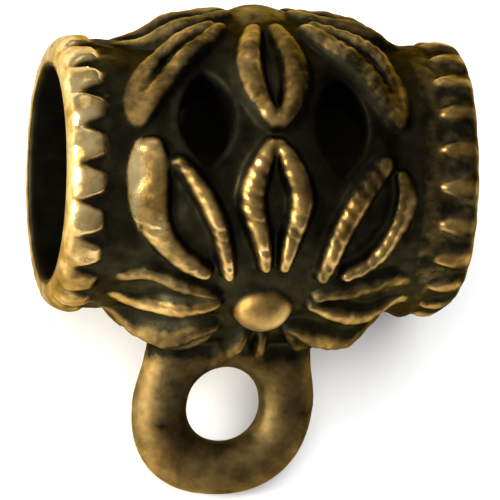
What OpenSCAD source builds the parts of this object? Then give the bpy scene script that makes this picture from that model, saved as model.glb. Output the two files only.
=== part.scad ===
// Cast bail: a short barrel that a cord runs through, with a loop for a pendant on its side.
// Three eight-petalled flowers stand in relief round the barrel, and four windows pierce it.
// It is one casting, drawn as it lies on a table, on the petals of one flower and on the loop.

/* [Barrel] */
// Length of the tube over both collars
bail_length = 10.8; // [10:0.1:12]
// Diameter of the bore that the cord runs through
bore_d = 5.5; // [4:0.1:5.8]
// Diameter over the petals at the middle
bulge_d = 9.0; // [8.6:0.1:9.8]
// Length of the bulge between the two grooves
bulge_length = 7.8; // [7.2:0.1:8.2]
// Radius of the arc that the bulge follows along the bore
bulge_arc_r = 8.5; // [7:0.5:12]
// Height of the petals above the ground between them
relief = 0.5; // [0.25:0.05:0.6]
// Diameter of the groove beside each collar
groove_d = 6.8; // [6.3:0.05:6.9]

/* [Collars] */
// Diameter over the teeth of a collar
collar_d = 7.2; // [7:0.1:7.8]
// Width of a collar along the bore
collar_w = 1.0; // [0.7:0.05:1.1]
// Chamfer on the two edges of a collar
collar_chamfer = 0.15; // [0.05:0.01:0.2]
// Number of teeth round a collar
tooth_count = 22; // [12:2:24]
// Diameter of the round file that parts the teeth
file_d = 0.7; // [0.4:0.05:0.8]
// Depth of a notch beside the groove, from where it runs out to the open end
notch_depth = 0.3; // [0.1:0.05:0.35]

/* [Flowers] */
// Angle round the bore from the loop to the flower on each side of it
side_flower_angle = 39; // [34:1:44]
// Angle round the bore from the loop to where petals of a side and the top flower meet
meeting_angle = 113; // [108:1:118]
// Ground left between the tips of petals that meet
tip_gap = 0.4; // [0.2:0.05:0.8]
// Radius of the ball in the middle of a flower
bead_r = 0.8; // [0.6:0.05:1]
// Height of the ball above the petals
bead_proud = 0.05; // [0:0.01:0.2]
// Distance from the middle of a flower to where its petals start
petal_start = 1.3; // [1.2:0.05:1.8]
// Width of the petals that run straight round the barrel, as a share of their length
round_share = 0.46; // [0.3:0.02:0.5]
// Width of the petals that run along the barrel, as a share of their length
long_share = 0.6; // [0.4:0.02:0.7]
// Swell of a slanting petal towards its collar, as a share of its length
slant_swell = 0.22; // [0.15:0.01:0.26]
// Swell of a slanting petal towards the middle of the barrel, as a share of its length
slant_hollow = 0.12; // [0.08:0.01:0.14]
// Distance from the middle of the barrel to the tips of the slanting petals
slant_tip = 3.6; // [3:0.1:3.7]
// Width of the slit along a petal, as a share of the petal's width
slit_share = 0.28; // [0.2:0.02:0.4]

/* [Windows] */
// Angle round the bore from the loop to the middle of the windows on each side of it
window_angle = 117; // [110:1:120]
// Length of a window round the barrel
window_length = 3.0; // [2:0.1:3.2]
// Width of a window along the bore
window_w = 1.3; // [0.8:0.1:1.5]
// Distance from the middle of the barrel to the middle of a window
window_offset = 1.7; // [1.5:0.05:1.8]

/* [Loop] */
// Outer diameter of the loop
loop_d = 4.8; // [4.2:0.1:5.4]
// Diameter of the hole in the loop
loop_hole_d = 2.0; // [1.4:0.05:2.2]
// Depth to which the hole is drilled into the loop's round section
loop_hole_flat = 0.06; // [0.02:0.01:0.12]
// Distance from the axis of the bore to the middle of the hole
loop_reach = 6.05; // [5.8:0.05:7]
// Distance that the loop stands off the middle of the barrel, along the bore
loop_shift = -0.45; // [-0.6:0.05:0.5]
// Thickness of the web that fills the loop between its two legs
web_t = 1.2; // [0.8:0.05:1.3]

/* [Hidden] */
$fn = 96;

half_length = bail_length / 2;
bore_r = bore_d / 2;
crown_r = bulge_d / 2;
groove_r = groove_d / 2;
half_bulge = bulge_length / 2;

collar_r = collar_d / 2;
collar_x = half_length - collar_w;
tooth_step = 360 / tooth_count;
file_r = file_d / 2;
file_lead = 0.4 * (collar_x - half_bulge);
file_slope = atan(notch_depth / collar_w);

bead_centre_r = crown_r + bead_proud - bead_r;
long_tip = half_bulge - tip_gap / 4;
slant_start_x = petal_start * cos(45);
slit_lead = 0.16;

loop_hole_r = loop_hole_d / 2;
loop_wire_r = (loop_d / 2 - loop_hole_r + loop_hole_flat) / 2;
loop_ring_r = loop_d / 2 - loop_wire_r;
leg_r = 0.96 * loop_wire_r;
web_hole_r = loop_ring_r - loop_wire_r / 4;
// The loop slants down until its end is as low as the petals under the bore.
loop_slant = asin((crown_r - loop_wire_r) / (loop_reach + loop_ring_r));

over = 1;

// Radius of the arc that stands a given height above its chord.
function arc_radius(chord, height) = (chord * chord / 4 + height * height) / (2 * height);

// Angle that a length round the barrel takes up, over the petals.
function angle_of(length) = length / crown_r * 180 / PI;

// Turns what is drawn above the barrel, along +Z, to an angle round the bore from the loop.
module at_angle(angle) rotate([180 - angle, 0, 0]) children();

// Pointed oval on the chord from a to b, which swells by left and right of it.
module pointed_oval(a, b, left, right) {
    chord = norm(b - a);
    left_r = arc_radius(chord, left);
    right_r = arc_radius(chord, right);
    translate(a) rotate(atan2(b.y - a.y, b.x - a.x)) translate([chord / 2, 0]) intersection() {
        translate([0, left - left_r]) circle(left_r);
        translate([0, right_r - right]) circle(right_r);
    }
}

// Body of revolution of the bulge, sunk by depth below the tops of the petals.
module bulge(depth) {
    rotate([0, 90, 0]) rotate_extrude() intersection() {
        translate([crown_r - bulge_arc_r, 0]) circle(bulge_arc_r - depth, $fn = 360);
        translate([0, -half_bulge]) square([crown_r + over, bulge_length]);
    }
}

// Outline of a petal with its slit, drawn flat. The swells are shares of its length.
module petal_outline(start, tip, left, right) {
    chord = tip - start;
    length = norm(chord);
    aside = [-chord.y, chord.x] * (left - right) / 4;
    slit = (left + right) * length * slit_share / 2;
    difference() {
        pointed_oval(start, tip, left * length, right * length);
        pointed_oval(start + slit_lead * chord + aside, tip - slit_lead * chord + aside, slit, slit);
    }
}

// A petal as a block that reaches down into the bore. Its ends are given as [x, angle from the loop].
module petal(start, tip, left, right) {
    half_span = crown_r * sin((tip.y - start.y) / 2);
    at_angle((start.y + tip.y) / 2) translate([0, 0, bore_r / 2]) linear_extrude(crown_r)
        petal_outline([start.x, -half_span], [tip.x, half_span], left, right);
}

// Three petals on one side of a flower, which reach to the angle where the next flower's begin.
module half_flower(middle, meeting) {
    way = sign(meeting - middle);
    tip = meeting - way * angle_of(tip_gap / 2);
    petal([0, middle + way * angle_of(petal_start)], [0, tip], round_share / 2, round_share / 2);
    for (side = [-1, 1]) {
        collar_is_left = side * way < 0;
        petal([side * slant_start_x, middle + way * angle_of(slant_start_x)], [side * slant_tip, tip],
            collar_is_left ? slant_swell : slant_hollow, collar_is_left ? slant_hollow : slant_swell);
    }
}

module flower(middle, lower_meeting, upper_meeting) {
    half_flower(middle, lower_meeting);
    half_flower(middle, upper_meeting);
    for (side = [-1, 1])
        petal([side * petal_start, middle], [side * long_tip, middle], long_share / 2, long_share / 2);
}

module flowers() {
    intersection() {
        bulge(0);
        union() {
            flower(side_flower_angle, 0, meeting_angle);
            flower(-side_flower_angle, 0, -meeting_angle);
            flower(180, meeting_angle, 360 - meeting_angle);
        }
    }
    for (middle = [side_flower_angle, -side_flower_angle, 180])
        at_angle(middle) translate([0, 0, bead_centre_r]) sphere(bead_r);
}

module windows() {
    for (angle = [window_angle, -window_angle], side = [-1, 1])
        at_angle(angle) translate([side * window_offset, 0, 0]) linear_extrude(crown_r + over)
            pointed_oval([0, -window_length / 2], [0, window_length / 2], window_w / 2, window_w / 2);
}

module collar() {
    rotate([0, 90, 0]) rotate_extrude() polygon([
        [0, collar_x],
        [collar_r - collar_chamfer, collar_x],
        [collar_r, collar_x + collar_chamfer],
        [collar_r, half_length - collar_chamfer],
        [collar_r - collar_chamfer, half_length],
        [0, half_length]
    ]);
}

// Notches between a collar's teeth, deepest beside the groove.
module notches() {
    for (tooth = [0 : tooth_count - 1])
        at_angle(tooth * tooth_step)
            translate([collar_x, 0, collar_r - notch_depth + file_r]) rotate([0, 90 - file_slope, 0])
                translate([0, 0, -file_lead]) cylinder(r = file_r, h = collar_w + over);
}

// The loop is a ring on two round legs, with a web that fills the space between them.
module loop() {
    at_angle(0) translate([loop_shift, 0, 0]) {
        translate([0, 0, loop_reach]) rotate([90, 0, 0]) {
            rotate_extrude() translate([loop_ring_r, 0]) circle(loop_wire_r);
            linear_extrude(web_t, center = true) difference() {
                translate([-loop_ring_r, bore_r - loop_reach])
                    square([2 * loop_ring_r, loop_reach - bore_r]);
                circle(web_hole_r);
            }
        }
        for (side = [-1, 1])
            translate([side * loop_ring_r, 0, bore_r]) cylinder(r = leg_r, h = loop_reach - bore_r);
    }
}

module loop_hole() {
    at_angle(0) translate([loop_shift, 0, loop_reach]) rotate([90, 0, 0])
        cylinder(r = loop_hole_r, h = loop_d, center = true);
}

module bore() rotate([0, 90, 0]) cylinder(r = bore_r, h = bail_length + 2 * over, center = true);

module groove_tube() rotate([0, 90, 0])
    cylinder(r = groove_r, h = bail_length - collar_w, center = true);

module bail() {
    color("darkgoldenrod") rotate([loop_slant - 90, 0, 0]) difference() {
        union() {
            bulge(relief);
            groove_tube();
            flowers();
            for (end = [0, 1]) mirror([end, 0, 0]) collar();
            loop();
        }
        for (end = [0, 1]) mirror([end, 0, 0]) notches();
        windows();
        bore();
        loop_hole();
    }
}

bail();
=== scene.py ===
"""Looks of the cast bail: antiqued brass, on a pale floor.

The casting is modelled in millimetres as it hangs: x along the bore, the loop straight down, and
angles round the bore counted in degrees from the loop towards the viewer. It is one closed surface,
taken from a distance field, and is turned at the end to the way the part lies on the floor.
"""
import math

import bpy
import numpy as np
from mathutils import Matrix, Vector


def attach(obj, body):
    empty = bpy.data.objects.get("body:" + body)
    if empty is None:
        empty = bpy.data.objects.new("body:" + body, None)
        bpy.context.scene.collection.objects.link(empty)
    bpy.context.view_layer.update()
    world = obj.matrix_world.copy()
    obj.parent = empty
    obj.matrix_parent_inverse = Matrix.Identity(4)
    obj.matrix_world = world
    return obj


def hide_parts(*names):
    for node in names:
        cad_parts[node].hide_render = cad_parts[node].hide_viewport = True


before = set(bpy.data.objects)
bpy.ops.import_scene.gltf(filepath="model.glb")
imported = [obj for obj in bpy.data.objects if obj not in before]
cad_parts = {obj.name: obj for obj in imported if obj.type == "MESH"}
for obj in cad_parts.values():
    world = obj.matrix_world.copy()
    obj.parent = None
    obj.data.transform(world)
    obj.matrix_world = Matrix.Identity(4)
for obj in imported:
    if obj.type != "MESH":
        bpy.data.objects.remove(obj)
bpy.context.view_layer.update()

# Sizes, in mm and degrees.
MM = 0.001
HALF_LENGTH = 5.4
BORE_R = 2.75
CROWN_R = 4.47
HALF_BULGE = 3.9
GROOVE_R = 3.48
COLLAR_R = 3.6
TEETH = 22
TOOTH_STEP = 360.0 / TEETH
TOOTH_START = 4.5
RELIEF = 0.45
# Distances from the middle of the barrel: where the collars start, and where their rims start to round.
COLLAR_LEFT, COLLAR_RIGHT = 4.36, 4.26
COLLAR_X = 4.3
RIM_START = 4.75
END_ROUND = 0.20

SIDE_FLOWER = 39.0
TOP_FLOWER = 180.0

BEAD_X = -0.05
# Balls in the middle of the flowers, as degrees from the loop: (radius, distance from the bore's axis).
BEADS = {SIDE_FLOWER: (0.84, 3.75), -SIDE_FLOWER: (0.84, 3.75), TOP_FLOWER: (1.48, 3.03)}

LOOP_X = -0.48
LOOP_REACH = 6.05
WIRE_R = 0.73
RING_R = 1.67
HOLE_R = 1.0
LOOP_LEAN = 0.07
LEG_R = WIRE_R - 0.03
LEG_LENGTH = 3.2
# How far the two legs lean in at the barrel.
LEFT_LEAN, RIGHT_LEAN = 0.60, 0.20
HALF_WEB = 0.60
SLANT = math.degrees(math.asin((CROWN_R - WIRE_R) / (LOOP_REACH + RING_R)))

# Windows as (x, degrees from the loop).
WINDOWS = [(-1.82, 121.0), (1.68, 118.0), (-2.12, -119.0), (1.32, -119.0)]
WINDOW_LENGTH = 3.0
WINDOW_W = 1.40
WINDOW_R = 4.2

VOXEL = 0.058
TRIANGLES = 192000
CURVE_STEP = 0.035

# Ribs of the petals as (x, degrees from the flower's middle, half width, height share).
SLANT_OUTER = [(1.88, 20.3, .30, .9), (2.12, 21.9, .36, 1.0), (2.42, 24.3, .40, 1.0),
               (2.72, 27.6, .42, 1.0), (2.98, 32, .44, 1.0), (3.18, 37, .47, 1.0),
               (3.32, 43.5, .52, 1.0), (3.38, 51, .56, 1.0), (3.39, 58, .57, 1.0),
               (3.38, 65, .54, 1.0), (3.36, 70, .42, .95)]
SLANT_RIGHT = [(1.95, 20.3, .27, .9), (2.45, 24.3, .30, 1.0), (2.92, 31, .32, 1.0), (3.24, 39, .33, 1.0),
               (3.39, 47, .33, 1.0), (3.38, 54, .30, .95), (3.24, 59.5, .24, .85)]
SLANT_INNER = [(1.24, 20, .20, .9), (1.33, 25, .23, 1.0), (1.45, 31, .25, 1.0), (1.60, 38, .27, 1.0),
               (1.84, 45, .29, 1.0), (2.10, 52, .30, .95), (2.38, 58, .29, .85), (2.70, 63.5, .27, .75)]
ROUND_SIDE = [(.25, 25, .20, .9), (.30, 30, .24, 1.0), (.44, 37.5, .29, 1.0), (.59, 44.5, .33, 1.0),
              (.65, 51, .35, 1.0), (.53, 58, .34, 1.0), (.31, 65, .29, 1.0), (.10, 70, .20, .85)]
TOP_OUTER = [(1.40, 15, .24, .85), (1.95, 18.5, .30, .95), (2.52, 23.5, .33, 1.0), (2.95, 30, .34, 1.0),
             (3.20, 37, .34, 1.0), (3.38, 45, .33, .95), (3.42, 53, .31, .95), (3.34, 60, .25, .9)]
TOP_INNER = [(1.15, 18, .26, .85), (1.48, 23, .33, .95), (1.84, 28.5, .38, 1.0), (2.18, 34, .41, 1.0),
             (2.50, 40, .42, 1.0), (2.80, 47, .41, 1.0), (3.08, 54, .36, .95), (3.28, 60, .28, .9)]
TOP_ROUND = [(.30, 20, .26, .85), (.40, 25, .32, .95), (.52, 31, .37, 1.0), (.61, 38, .41, 1.0),
             (.62, 45, .42, 1.0), (.50, 53, .39, 1.0), (.27, 60, .31, 1.0), (.10, 63.5, .22, .85)]
TOP_LONG = [(.95, 5.5, .26, .95), (1.50, 8.0, .34, 1.0), (2.10, 9.5, .37, 1.0), (2.65, 10.5, .36, 1.0),
            (3.15, 10.5, .32, .95), (3.68, 7.5, .24, .9)]
# Ribs of the two petals that run along the barrel, on the side away from the loop and the side near it.
LONG_FAR = [(1.35, 8.5, .20, .65), (1.62, 10.0, .27, .75), (2.12, 11.2, .33, .8), (2.65, 12.0, .35, .8),
            (3.15, 12.5, .33, .8), (3.72, 9.0, .26, .85)]
LONG_NEAR = [(1.28, 4.0, .22, .7), (1.65, 1.0, .30, .8), (2.18, -3.0, .36, .9), (2.70, -6.5, .37, .9),
             (3.25, -8.0, .35, .9), (3.80, -4.5, .27, .95)]
# Ribs of the half flower that faces the loop, which run on to its root.
LOW_OUTER = [(1.05, 11, .19, .7), (1.38, 13.5, .27, .9), (1.85, 18.5, .33, 1.0), (2.30, 23, .36, 1.0),
             (2.75, 26, .36, 1.0), (3.20, 27, .33, 1.0), (3.60, 28, .26, 1.0)]
LOW_INNER = [(.95, 12.5, .17, .6), (1.20, 17.5, .20, .7), (1.48, 24, .22, .7), (1.85, 29.5, .22, .6),
             (2.30, 32.5, .22, .55), (2.85, 35, .20, .5)]
LOW_ROUND = [(.24, 16, .14, .7), (.30, 20, .18, .95), (.39, 25, .20, 1.0), (.46, 30, .20, 1.0),
             (.50, 34, .16, .8)]

rng = np.random.default_rng(7)


# Small tools.
def smooth(t):
    t = np.clip(t, 0.0, 1.0)
    return t * t * (3.0 - 2.0 * t)


def soft_max(a, b, k):
    h = np.clip(0.5 + 0.5 * (a - b) / k, 0.0, 1.0)
    return b + (a - b) * h + k * h * (1.0 - h)


def soft_min(a, b, k):
    return -soft_max(-a, -b, k)


def ball_distance(x, y, z, middle):
    """Distance from the middle of the ball that a flower has at an angle."""
    t, reach = math.radians(middle), BEADS[middle][1]
    return np.sqrt((x - BEAD_X) ** 2 + (y + reach * math.sin(t)) ** 2 + (z + reach * math.cos(t)) ** 2)


def crown(u):
    """Radius over the petals, at u along the bore: an arc whose shoulders drop a little faster."""
    shoulder = 0.22 * smooth((-u - 2.2) / 1.0) + 0.40 * smooth((u - 2.7) / 1.2)
    return CROWN_R - u**2 / np.where(u < 0, 20.0, 26.0) - shoulder


def blur(a, sigma, axis, wrap=False):
    """Gaussian blur along one axis; sigma is in steps."""
    n = max(1, int(round(3 * sigma)))
    w = np.exp(-0.5 * (np.arange(-n, n + 1) / sigma) ** 2)
    w /= w.sum()
    pad = [(0, 0)] * a.ndim
    pad[axis] = (n, n)
    p = np.pad(a, pad, mode="wrap" if wrap else "edge")
    out = np.zeros_like(a)
    size = a.shape[axis]
    for i, wi in enumerate(w):
        cut = [slice(None)] * a.ndim
        cut[axis] = slice(i, i + size)
        out += np.float32(wi) * p[tuple(cut)]
    return out


def curve(points):
    """Smooth curve through points (Catmull-Rom), at nearly even steps."""
    p = np.array(points, float)
    p = np.vstack([2 * p[0] - p[1], p, 2 * p[-1] - p[-2]])
    out = []
    for i in range(1, len(p) - 2):
        length = math.hypot(p[i + 1, 0] - p[i, 0], math.radians(p[i + 1, 1] - p[i, 1]) * CROWN_R)
        for t in np.arange(0, 1, CURVE_STEP / max(length, CURVE_STEP)):
            a, b, c, d = p[i - 1:i + 3]
            out.append(0.5 * (2 * b + (c - a) * t + (2 * a - 5 * b + 4 * c - d) * t**2
                              + (3 * b - a - 3 * c + d) * t**3))
    return np.array(out)


# The relief, drawn flat round the barrel.
MAP_DU, MAP_DA = 0.025, 0.3
MAP_END = 5.7
NICK_SLANT = 0.5
map_u = np.arange(-MAP_END, MAP_END + MAP_DU / 2, MAP_DU)
map_a = np.arange(-180.0, 180.0, MAP_DA)
height = np.zeros((len(map_u), len(map_a)), np.float32)
rib_wear_and_shade = np.ones_like(height)


def rib(points, wear_share_and_shade, nicks):
    """Raises a rounded rib along a curve, with the slanting nicks that a chased rib has."""
    line = curve(points)
    along = CURVE_STEP * np.arange(len(line))
    reach = line[:, 2].max()
    da = math.degrees(reach / CROWN_R)
    i0, i1 = np.searchsorted(map_u, (line[:, 0].min() - reach, line[:, 0].max() + reach))
    j = np.arange(int((line[:, 1].min() - da + 180) // MAP_DA),
                  int((line[:, 1].max() + da + 180) // MAP_DA) + 2)
    du = (map_u[i0:i1][:, None, None] - line[:, 0]).astype(np.float32)
    dv = (np.radians(j * MAP_DA - 180)[None, :, None] - np.radians(line[:, 1])).astype(np.float32) * CROWN_R
    apart = du**2 + dv**2
    k = apart.argmin(2)
    apart = np.take_along_axis(apart, k[..., None], 2)[..., 0]
    aside = np.take_along_axis(du + 0 * dv, k[..., None], 2)[..., 0]
    place = along[k] + NICK_SLANT * aside
    w, h = line[k, 2], line[k, 3]
    at = rng.uniform(0.1, 0.3)
    while at < along[-1]:
        depth = rng.uniform(0.35, 1.0) * nicks * np.clip(w / 0.33, 0.45, 1) ** 2
        h = h - depth * np.exp(-((place - at) / rng.uniform(0.05, 0.08)) ** 2)
        at += rng.uniform(0.28, 0.46)
    bump = h * np.sqrt(np.clip(1 - apart / w**2, 0, 1))
    j %= len(map_a)
    rib_wear_and_shade[i0:i1, j] = np.where(bump > height[i0:i1, j], wear_share_and_shade, rib_wear_and_shade[i0:i1, j])
    height[i0:i1, j] = np.maximum(height[i0:i1, j], bump)


def petals(table, middle, way, wear_share_and_shade, lean=lambda a: -0.05, sides=(-1, 1), wider=1.0, nicks=0.30):
    """Ribs of a table, on each side of the line x = lean, and how far the black finish comes off them; that
    share also carries painted shade.
    """
    for side in sides:
        rib([(side * u + lean(a), middle + way * a, w * wider, h) for u, a, w, h in table],
            wear_share_and_shade, nicks)


# The share given to each table is partly wear and partly painted shade: the top flower's ribs and the long
# ribs on the side away from the loop get less, so they are darker.
for front in (1, -1):
    petals(SLANT_OUTER, front * SIDE_FLOWER, front, 0.86, lambda a: 0.03, (-1,), nicks=0.20)
    petals(SLANT_RIGHT, front * SIDE_FLOWER, front, 0.80, lambda a: 0.03, (1,), nicks=0.30)
    petals(SLANT_INNER, front * SIDE_FLOWER, front, 0.76, lambda a: 0.07, (-1,))
    petals(SLANT_INNER, front * SIDE_FLOWER, front, 0.78, lambda a: 0.07, (1,), wider=1.25)
    petals(ROUND_SIDE, front * SIDE_FLOWER, front, 0.84, lambda a: -0.04 - 0.0035 * (a - 30), wider=1.06)
    petals(LOW_OUTER, front * SIDE_FLOWER, -front, 0.50, lambda a: -0.10 - 0.007 * a, nicks=0.12)
    petals(LOW_INNER, front * SIDE_FLOWER, -front, 0.36, lambda a: -0.10 - 0.007 * a, nicks=0.12)
    petals(LOW_ROUND, front * SIDE_FLOWER, -front, 0.45, lambda a: 0.12 - 0.012 * a, nicks=0.12)
    petals(LONG_FAR, front * SIDE_FLOWER, front, 0.45, nicks=0.15)
    petals(LONG_NEAR, front * SIDE_FLOWER, front, 0.85, nicks=0.12)
    for table in (TOP_OUTER, TOP_INNER):
        petals(table, TOP_FLOWER, front, 0.60, lambda a: -0.09, (1,))
        petals(table, TOP_FLOWER, front, 0.62, lambda a: -0.09 - 0.24 * smooth((a - 22) / 30), (-1,),
               wider=0.92)
    petals(TOP_ROUND, TOP_FLOWER, front, 0.82, lambda a: -0.09, (-1,), nicks=0.18)
    petals(TOP_ROUND, TOP_FLOWER, front, 0.66, lambda a: -0.09, (1,), nicks=0.22)
    petals(TOP_LONG, TOP_FLOWER, front, 0.55, nicks=0.15)


def soften(field, sigma):
    """Blurs a field of the flat map; sigma is in mm."""
    return blur(blur(field, sigma / MAP_DU, 0), sigma / math.radians(MAP_DA) / CROWN_R, 1, wrap=True)


height = soften(height, 0.045)

# Radius of the outside: ground and ribs on the bulge, groove, collar with its teeth.
U, A = np.meshgrid(map_u, map_a, indexing="ij")
flare = ((0.40 - 0.04 * U) * np.exp(-(A / 24.0) ** 4)
         * smooth((U + 3.95) / 0.9) * smooth((3.4 - U) / 0.9))
top = crown(U) + flare
from_top = np.hypot(U, np.radians(180 - np.abs(A)) * CROWN_R)
relief = RELIEF * (1 - 0.45 * np.exp(-(from_top / 3.0) ** 2) - 0.42 * np.exp(-(from_top / 1.3) ** 2))
ground = soft_max(top - relief, np.full_like(U, GROOVE_R), 0.12)
outside = np.where(np.abs(U) < COLLAR_X, ground + (top - ground) * 1.05 * height, ground)


def rim_drop(u):
    """How far a collar is rounded down towards its open end."""
    share = np.clip((np.abs(u) - RIM_START) / (HALF_LENGTH - RIM_START), 0, 1)
    return np.where(u < 0, 0.30, 0.16) * share ** 2.2


tooth_phase = ((A + TOOTH_START) / TOOTH_STEP) % 1.0 - 0.5
# A notch between two teeth is a wedge, open to the groove and closed at the rim.
open_by = np.clip((5.28 - np.abs(U)) / 0.88, 0.0, 1.0)
notch = smooth((np.where(U < 0, 0.05, 0.15) + 0.33 * open_by - np.abs(tooth_phase)) / 0.18)
collar = (COLLAR_R + 0.02 - (0.03 + 0.14 * open_by) * notch - 0.05 * (1 - 2 * np.abs(tooth_phase)) ** 2
          - rim_drop(U))
# The rim that faces right is rubbed down beside the loop.
collar -= 0.26 * np.clip((U - 4.7) / 0.7, 0, 1) ** 1.5 * np.exp(-((A - 12) / 42) ** 2)
collar_mask = smooth((np.abs(U) - np.where(U < 0, COLLAR_LEFT, COLLAR_RIGHT)) / 0.26)
outside = outside * (1 - collar_mask) + collar * collar_mask
bulge_end = smooth((np.abs(U) - HALF_BULGE + 0.02) / 0.14)
grooved = outside * (1 - bulge_end) + np.minimum(outside, GROOVE_R) * bulge_end
outside = np.where(np.abs(U) < COLLAR_RIGHT, grooved, outside)
# Beside the loop the groove on the right runs out.
outside += 0.15 * np.exp(-((U - 4.05) / 0.28) ** 2 - ((A - 8) / 26) ** 2)
# The unevenness of a small casting.
for size, depth in ((0.10, 0.010), (0.30, 0.016)):
    uneven = soften(rng.standard_normal(outside.shape).astype(np.float32), size)
    outside = outside + depth * uneven / uneven.std()
outside = soften(outside.astype(np.float32), 0.03)


def on_map(field, u, a):
    """Reads a field of the flat map at u along the bore and a degrees round it."""
    x = np.clip((u - map_u[0]) / MAP_DU, 0, len(map_u) - 1.001)
    y = (a + 180.0) / MAP_DA
    i = x.astype(np.int32)
    j = np.floor(y).astype(np.int32)
    fx, fy = x - i, y - j
    j0, j1 = j % len(map_a), (j + 1) % len(map_a)
    return ((field[i, j0] * (1 - fx) + field[i + 1, j0] * fx) * (1 - fy)
            + (field[i, j1] * (1 - fx) + field[i + 1, j1] * fx) * fy)


slope_u = np.gradient(outside, MAP_DU, axis=0)
slope_a = np.gradient(outside, math.radians(MAP_DA), axis=1) / outside
steep = np.sqrt(1 + slope_u**2 + slope_a**2).astype(np.float32)

# The distance field of the casting.
gx = np.arange(-5.62, 5.62, VOXEL, dtype=np.float32)
gy = np.arange(-4.95, 4.95, VOXEL, dtype=np.float32)
gz = np.arange(-8.7, 4.95, VOXEL, dtype=np.float32)


def pointed_oval(x, y, length, width):
    """Distance to a pointed oval of that length along y and width along x (minus inside)."""
    r = (width**2 + length**2) / (4 * width)
    d = r - width / 2
    return np.hypot(np.abs(x) + d, y) - r


def from_window(x, a):
    """Distance over the wall to the nearest window."""
    return np.minimum.reduce([
        pointed_oval(x - middle_x, np.radians((a - middle + 180) % 360 - 180) * WINDOW_R,
                     WINDOW_LENGTH, WINDOW_W)
        for middle_x, middle in WINDOWS])


def casting(x, y, z):
    """Distance to the casting, minus inside."""
    r = np.hypot(y, z)
    a = np.degrees(np.arctan2(-y, -z))
    wall = (r - on_map(outside, x, a)) / on_map(steep, x, a)

    # Balls in the middle of the flowers.
    for middle, (size, _) in BEADS.items():
        wall = soft_min(wall, ball_distance(x, y, z, middle) - size, 0.06)

    # The open ends, with rounded rims.
    wall = soft_max(wall, np.abs(x) - HALF_LENGTH, END_ROUND)

    # Loop: a ring on two legs that lean in a little, with a web between them.
    lx, lz = x - LOOP_X, -z - LOOP_REACH
    bend = np.where(lz > 0, 2.25, 2.0)
    ring_r = (np.abs(lx + LOOP_LEAN * lz) ** bend + np.abs(lz) ** bend) ** (1 / bend)
    ring = np.hypot(ring_r - RING_R, y) - WIRE_R
    up = np.clip(-lz / LEG_LENGTH, 0, 1)
    left = -RING_R + LEFT_LEAN * up
    right = RING_R - RIGHT_LEAN * up
    legs = np.minimum(np.hypot(lx - left, y), np.hypot(lx - right, y)) - LEG_R
    legs = np.maximum(legs, lz)
    web = np.maximum(np.abs(y) - HALF_WEB, np.maximum(np.maximum(left - lx, lx - right), lz))
    web = np.maximum(web, RING_R - 0.10 - np.hypot(lx, lz))
    loop = soft_min(ring, legs, 0.10)
    loop = soft_min(loop, web, 0.12)
    loop = np.maximum(loop, np.maximum(3.0 - r, z + 2.6))
    wall = soft_min(wall, loop, 0.28)
    hole = HOLE_R - np.hypot(lx, lz)
    wall = np.where(-z > 4.0, soft_max(wall, hole, 0.10), wall)

    wall = soft_max(wall, -np.maximum(from_window(x, a), 1.0 - r), 0.14)
    return soft_max(wall, BORE_R - r, 0.16)


field = np.empty((len(gx), len(gy), len(gz)), np.float32)
Y, Z = np.meshgrid(gy, gz, indexing="ij")
for first in range(0, len(gx), 16):
    X = gx[first:first + 16][:, None, None]
    field[first:first + 16] = casting(X + 0 * Y[None], Y[None] + 0 * X, Z[None] + 0 * X)


# The surface of the field.
def sample(values, p):
    """Reads grid values at points p, given in grid steps."""
    p = np.clip(p, 0, np.array(values.shape) - 1.001)
    i = p.astype(np.int32)
    f = (p - i).astype(np.float32)
    out = 0
    for dx in (0, 1):
        for dy in (0, 1):
            for dz in (0, 1):
                w = ((f[:, 0] if dx else 1 - f[:, 0]) * (f[:, 1] if dy else 1 - f[:, 1])
                     * (f[:, 2] if dz else 1 - f[:, 2]))
                out = out + w * values[i[:, 0] + dx, i[:, 1] + dy, i[:, 2] + dz]
    return out


def slope(values, p, e=0.7):
    return np.stack([(sample(values, p + d) - sample(values, p - d)) / (2 * e)
                     for d in np.eye(3) * e], axis=1)


def surface(values):
    """Points and quads of the zero surface: one point in each cell that it crosses."""
    inside = values < 0
    n = np.array(values.shape) - 1
    count = np.zeros(n, np.int8)
    for dx in (0, 1):
        for dy in (0, 1):
            for dz in (0, 1):
                count += inside[dx:n[0] + dx, dy:n[1] + dy, dz:n[2] + dz]
    cells = np.argwhere((count > 0) & (count < 8))
    number = np.full(n, -1, np.int32)
    number[tuple(cells.T)] = np.arange(len(cells))
    corners = [(dx, dy, dz) for dx in (0, 1) for dy in (0, 1) for dz in (0, 1)]
    v = {c: values[tuple((cells + c).T)] for c in corners}
    total, hits = np.zeros((len(cells), 3)), np.zeros(len(cells))
    for c in corners:
        for axis in range(3):
            if c[axis]:
                continue
            e = tuple(1 if k == axis else c[k] for k in range(3))
            cross = (v[c] < 0) != (v[e] < 0)
            t = np.where(cross, v[c] / np.where(cross, v[c] - v[e], 1), 0)
            place = np.array(c, float)[None, :] + t[:, None] * np.eye(3)[axis]
            total += np.where(cross[:, None], place, 0)
            hits += cross
    points = cells + total / hits[:, None]
    quads = []
    for axis in range(3):
        lo = [slice(None)] * 3
        hi = [slice(None)] * 3
        lo[axis], hi[axis] = slice(0, -1), slice(1, None)
        change = inside[tuple(lo)] != inside[tuple(hi)]
        edges = np.argwhere(change)
        b, c = (axis + 1) % 3, (axis + 2) % 3
        db, dc = np.eye(3, dtype=int)[b], np.eye(3, dtype=int)[c]
        q = [number[tuple((edges - o).T)] for o in (0 * db, db, db + dc, dc)]
        flip = inside[tuple(edges.T)]
        q = np.stack(q, axis=1)
        q[flip] = q[flip][:, ::-1]
        quads.append(q[:, ::-1])
    return points, np.vstack(quads)


points, quads = surface(field)
for _ in range(3):
    g = slope(field, points)
    step = sample(field, points) / np.maximum((g**2).sum(1), 1e-6)
    points = points - np.clip(step[:, None] * g, -0.35, 0.35)

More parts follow.
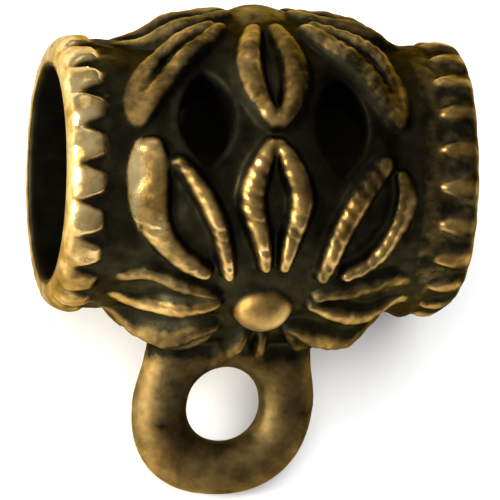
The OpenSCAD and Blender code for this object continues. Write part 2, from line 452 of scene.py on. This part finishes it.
mesh = bpy.data.meshes.new("bail_casting")
mesh.vertices.add(len(points))
mesh.loops.add(quads.size)
mesh.polygons.add(len(quads))
origin = np.array([gx[0], gy[0], gz[0]])
mesh.vertices.foreach_set("co", (points * VOXEL + origin).astype(np.float32).ravel())
mesh.loops.foreach_set("vertex_index", quads.astype(np.int32).ravel())
mesh.polygons.foreach_set("loop_start", np.arange(0, quads.size, 4, dtype=np.int32))
mesh.update(calc_edges=True)
mesh.validate()
casting_piece = bpy.data.objects.new("bail_casting", mesh)
bpy.context.scene.collection.objects.link(casting_piece)

thin = casting_piece.modifiers.new("thin", "DECIMATE")
thin.ratio = min(1.0, TRIANGLES / (2 * len(quads)))
bpy.context.view_layer.update()
ready = casting_piece.evaluated_get(bpy.context.evaluated_depsgraph_get())
final = bpy.data.meshes.new_from_object(ready)
casting_piece.modifiers.clear()
casting_piece.data = final
final.name = "bail_casting"
for poly in final.polygons:
    poly.use_smooth = True

# Wear, painted light and painted shade, from the shape.
co = np.empty(len(final.vertices) * 3, np.float32)
final.vertices.foreach_get("co", co)
co = co.reshape(-1, 3).astype(float)
steps = (co - origin) / VOXEL
near = np.clip(field, -0.5, 0.5)
for axis in range(3):
    near = blur(near, 0.13 / VOXEL, axis)
x, y, z = co.T
radius = np.hypot(y, z)
angle = np.degrees(np.arctan2(-y, -z))
skin = on_map(outside, x, angle)
by_window = 1.0 - from_window(x, angle)
# Close to the windows the ridges are not rubbed brighter, so the painted shade there stays even.
ridge = sample(near, steps) * (1 - smooth(by_window / 0.6))

# How far the black finish is rubbed off: the tops of the ribs and balls, the teeth, the outer edge
# of the loop. It also carries painted light: it grows towards the left end, so that end is lighter.
painted_light_left = smooth((3.0 - x) / 6.0)
wear_and_light = smooth((on_map(height, x, angle) - 0.35) / 0.5) * smooth((radius - skin + 0.22) / 0.15)
wear_and_light *= on_map(rib_wear_and_shade, x, angle) * (0.74 + 0.26 * painted_light_left)
# Painted highlight: along its edge towards the left end the outermost rib is given the bright polished colour.
edge = smooth((-3.46 - x) / 0.16) * smooth((27 - np.abs(np.abs(angle) - 92)) / 10)
wear_and_light = np.maximum(wear_and_light, 1.3 * edge * smooth((on_map(height, x, angle) - 0.10) / 0.3) * (np.abs(x) < 4.1))
# The balls are rubbed bright; the top one much less, partly as painted shade on the top.
for middle, (size, _) in BEADS.items():
    apart = ball_distance(x, y, z, middle)
    wear_and_light = np.maximum(wear_and_light, smooth((size + 0.10 - apart) / 0.08) * smooth((radius - 4.0) / 0.25)
                      * (0.30 if middle == TOP_FLOWER else 0.85))
# Painted light and shade on the collars: the left one's teeth and rim are rubbed more, so lighter, the right
# one's only along the crests of its teeth, and the left one is darker towards the loop.
tooth = 2 * np.abs(((angle + TOOTH_START) / TOOTH_STEP) % 1.0 - 0.5)
teeth = (smooth((radius + rim_drop(x) - 3.47) / 0.10)
         * np.where(x < 0, 1.15, 0.75 * smooth((tooth - 0.40) / 0.45)))
rim = smooth((np.abs(x) - 5.22) / 0.15) * smooth((radius - BORE_R - 0.10) / 0.12) * np.where(x < 0, 1.15, 0.55)
collar_wear_and_light = np.maximum(teeth, rim) * (1 - 0.30 * smooth((88 - np.abs(angle)) / 45) * (x < 0))
wear_and_light = np.where(np.abs(x) > COLLAR_X, collar_wear_and_light, wear_and_light)
wear_and_light = np.maximum(wear_and_light, 0.16 * smooth((x - 3.85) / 0.1) * smooth((np.abs(angle) - 30) / 30))
lx, lz = x - LOOP_X, -z - LOOP_REACH
outward = np.where(lz > 0, np.hypot(lx, lz), np.abs(lx)) - RING_R
on_loop = smooth((-z - 4.45) / 0.5) * (np.abs(y) < 1.2)
# The loop's outer edge is rubbed, more on its left side, so that side is lighter as painted light.
side_wear_and_light = 0.06 + 0.13 * smooth((0.3 - lx) / 2.2)
base_wear = 0.27 + 0.09 * smooth(lz / 1.5) + 0.17 * smooth((-lz - 0.4) / 0.8) - 0.04 * smooth(-lx - 0.4)
loop_wear_and_light = base_wear + side_wear_and_light * smooth((outward / WIRE_R + 0.05) / 0.8)
wear_and_light = wear_and_light * (1 - on_loop) + loop_wear_and_light * on_loop
# Painted shade, and no rubbing, in the bore, on the windows' own walls and a little round them.
in_window = smooth((skin - radius - 0.12) / 0.2) * (np.abs(x) < 4.0)
painted_shade_unworn = np.maximum(0.7 * smooth((BORE_R + 0.08 - radius) / 0.08), in_window)
painted_shade_unworn = np.maximum(painted_shade_unworn, 0.55 * smooth(by_window)) * (z > -3.2)
# The loop and the balls are duller than the ribs, from handling.
from_ball = np.minimum.reduce([ball_distance(x, y, z, middle) for middle in BEADS])
satin = np.maximum(on_loop, 0.6 * smooth((BEADS[SIDE_FLOWER][0] + 0.1 - from_ball) / 0.1))
for name, values in (("wear_and_light", wear_and_light), ("ridge", ridge), ("painted_shade_unworn", painted_shade_unworn), ("satin", satin)):
    layer = final.attributes.new(name, "FLOAT", "POINT")
    layer.data.foreach_set("value", values.astype(np.float32))

turn = math.radians(SLANT - 90)
final.transform(Matrix.Rotation(turn, 4, "X"))
final.transform(Matrix.Scale(MM, 4))
final.update()


# The metal, its black finish rubbed off by wear and by painted light, and darkened by painted shade.
def brass():
    m = bpy.data.materials.new("antique_brass")
    m.use_nodes = True
    t = m.node_tree
    t.nodes.clear()

    def node(kind, **inputs):
        n = t.nodes.new(kind)
        for k, v in inputs.items():
            sock = n.inputs[int(k[1:])] if k[0] == "i" and k[1:].isdigit() else n.inputs[k]
            if isinstance(v, bpy.types.NodeSocket):
                t.links.new(v, sock)
            else:
                sock.default_value = v
        return n

    def math_(op, a, b, c=0.0):
        n = node("ShaderNodeMath", i0=a, i1=b, i2=c)
        n.operation = op
        return n.outputs[0]

    def ramp(value, *stops):
        n = node("ShaderNodeValToRGB", i0=value)
        e = n.color_ramp.elements
        while len(e) < len(stops):
            e.new(0.5)
        for el, (p, c) in zip(e, stops):
            el.position = p
            el.color = (*c, 1)
        return n.outputs[0]

    def attr(name):
        n = t.nodes.new("ShaderNodeAttribute")
        n.attribute_name = name
        return n.outputs["Fac"]

    where = node("ShaderNodeTexCoord").outputs["Object"]

    def noise(scale, detail, rough=0.5):
        n = node("ShaderNodeTexNoise", Vector=where, Scale=scale, Detail=detail, Roughness=rough)
        return n.outputs["Fac"]

    def mix(fac, a, b):
        n = t.nodes.new("ShaderNodeMix")
        n.data_type = "RGBA"
        for sock, v in ((n.inputs[0], fac), (n.inputs[6], a), (n.inputs[7], b)):
            if isinstance(v, bpy.types.NodeSocket):
                t.links.new(v, sock)
            else:
                sock.default_value = v
        return n.outputs[2]

    big = noise(420, 2)
    patch = noise(1300, 3, 0.6)
    small = noise(3200, 4, 0.6)
    # How bare the metal is: wear, plus painted light, less painted shade.
    rub_and_light = math_("MULTIPLY_ADD", attr("ridge"), 1.8, attr("wear_and_light"))
    uneven = math_("MULTIPLY", math_("SUBTRACT", patch, 0.5),
                   math_("MINIMUM", math_("MULTIPLY_ADD", attr("wear_and_light"), 3.0, 0.5), 1.8))
    uneven = math_("MULTIPLY", uneven, math_("MULTIPLY_ADD", attr("satin"), -0.5, 1.0))
    rub_and_light = math_("ADD", uneven, rub_and_light)
    rub_and_light = math_("MULTIPLY_ADD", math_("SUBTRACT", small, 0.5), 0.5, rub_and_light)
    rub_and_light = math_("SUBTRACT", rub_and_light, attr("painted_shade_unworn"))
    bare_and_lit = ramp(rub_and_light, (0.08, (0, 0, 0)), (0.50, (0.34, 0.34, 0.34)), (0.95, (1, 1, 1)))
    # Polished colour where most rubbed, and where the painted highlight is laid.
    polished_and_highlight = ramp(math_("SUBTRACT", rub_and_light, 0.5), (0.42, (0, 0, 0)), (0.85, (1, 1, 1)))
    patina_and_shade = ramp(patch, (0.3, (0.010, 0.009, 0.005)), (0.7, (0.034, 0.030, 0.015)))
    # Painted shade: in the bore and the windows the black finish is darkened to near black.
    patina_and_shade = mix(attr("painted_shade_unworn"), patina_and_shade, (0.004, 0.0038, 0.003, 1))
    metal = ramp(big, (0.35, (0.33, 0.185, 0.045)), (0.65, (0.50, 0.33, 0.115)))
    metal = mix(polished_and_highlight, metal, (0.70, 0.53, 0.24, 1))
    colour = mix(bare_and_lit, patina_and_shade, metal)
    rough = math_("MULTIPLY_ADD", bare_and_lit, -0.15, 0.48)
    rough = math_("MULTIPLY_ADD", polished_and_highlight, -0.12, rough)
    rough = math_("MULTIPLY_ADD", attr("satin"), 0.16, rough)
    rough = math_("MULTIPLY_ADD", attr("painted_shade_unworn"), 0.35, rough)
    rough = math_("MULTIPLY_ADD", math_("SUBTRACT", small, 0.5), 0.25, rough)
    grain = math_("ADD", small, noise(9000, 3, 0.7))
    bump = node("ShaderNodeBump", Strength=0.35, Distance=0.00002, Height=grain)
    bsdf = node("ShaderNodeBsdfPrincipled", **{"Base Color": colour, "Roughness": rough, "Metallic": 1.0,
                                                 "Specular Tint": (0.50, 0.44, 0.32, 1),
                                                 "Normal": bump.outputs[0]})
    out = node("ShaderNodeOutputMaterial")
    t.links.new(bsdf.outputs[0], out.inputs[0])
    return m


final.materials.clear()
final.materials.append(brass())
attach(casting_piece, "root")
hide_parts("bail")

# The floor, under the lowest point.
low = min(v.co.z for v in final.vertices)
bpy.ops.mesh.primitive_plane_add(size=0.8, location=(0, 0, low))
floor = bpy.context.object
floor.name = "floor"
fm = bpy.data.materials.new("floor")
fm.use_nodes = True
fb = fm.node_tree.nodes["Principled BSDF"]
fb.inputs["Base Color"].default_value = (0.9, 0.9, 0.9, 1)
fb.inputs["Roughness"].default_value = 0.9
floor.data.materials.append(fm)

# The camera faces the barrel at 98 degrees from the loop, a little from the left, and is rolled slightly.
# The picture is 500 pixels across at 38.2 pixels a millimetre, with the middle of the bore in row 175.8.
up_down, yaw, roll = math.radians(98.0), math.radians(11.5), math.radians(0.8)
PICTURE = 500
PIXELS = 38.2
AXIS_ROW = 175.8
LENS, SENSOR = 600, 36
turned = Matrix.Rotation(turn, 3, "X")
front = Vector((0, -math.sin(up_down), -math.cos(up_down)))
along = Vector((1, 0, 0))
toward = turned @ (math.cos(yaw) * front - math.sin(yaw) * along)
right = turned @ (math.cos(yaw) * along + math.sin(yaw) * front)
up = toward.cross(right)
right = math.cos(roll) * right + math.sin(roll) * up
up = toward.cross(right)
aim = (up * (AXIS_ROW - PICTURE / 2) / PIXELS) * MM
cam_data = bpy.data.cameras.new("camera")
cam_data.lens = LENS
cam_data.sensor_width = SENSOR
distance = PICTURE / PIXELS * MM * LENS / SENSOR
cam_data.clip_start = 0.01
cam = bpy.data.objects.new("camera", cam_data)
rot = Matrix((right, up, toward)).transposed()
cam.matrix_world = Matrix.Translation(aim + toward * distance) @ rot.to_4x4()
bpy.context.scene.collection.objects.link(cam)
bpy.context.scene.camera = cam


# Light.
def softbox(name, place, size, power, colour=(1, 1, 1)):
    data = bpy.data.lights.new(name, "AREA")
    data.shape = "RECTANGLE"
    data.size, data.size_y = size
    data.energy = power
    data.color = colour
    lamp = bpy.data.objects.new(name, data)
    lamp.location = place
    lamp.rotation_euler = (-Vector(place)).to_track_quat("-Z", "Y").to_euler()
    bpy.context.scene.collection.objects.link(lamp)
    return lamp


softbox("key", (-0.21, -0.015, 0.060), (0.08, 0.12), 1.2, (1.0, 0.95, 0.84))
softbox("back", (-0.03, 0.18, 0.16), (0.12, 0.12), 0.05)
# The floor has a light of its own, which the metal does not mirror.
floor_light = softbox("floor_light", (0, 0, 0.5), (0.5, 0.5), 3.4)
floor_light.visible_glossy = False

world = bpy.data.worlds.new("world")
bpy.context.scene.world = world
world.use_nodes = True
tree = world.node_tree
# The studio is brighter on the left than on the right, and overhead.
place = tree.nodes.new("ShaderNodeTexCoord")
split = tree.nodes.new("ShaderNodeSeparateXYZ")
dim = tree.nodes.new("ShaderNodeMath")
dim.operation = "MULTIPLY_ADD"
dim.inputs[1].default_value = -0.25
dim.inputs[2].default_value = 0.28
tree.links.new(place.outputs["Generated"], split.inputs[0])
tree.links.new(split.outputs["X"], dim.inputs[0])
lift = tree.nodes.new("ShaderNodeMath")
lift.operation = "MULTIPLY_ADD"
lift.inputs[1].default_value = 0.26
tree.links.new(split.outputs["Z"], lift.inputs[0])
tree.links.new(dim.outputs[0], lift.inputs[2])
tree.links.new(lift.outputs[0], tree.nodes["Background"].inputs["Strength"])
tree.nodes["Background"].inputs["Color"].default_value = (1, 1, 1, 1)
bpy.context.scene.view_settings.view_transform = "Standard"
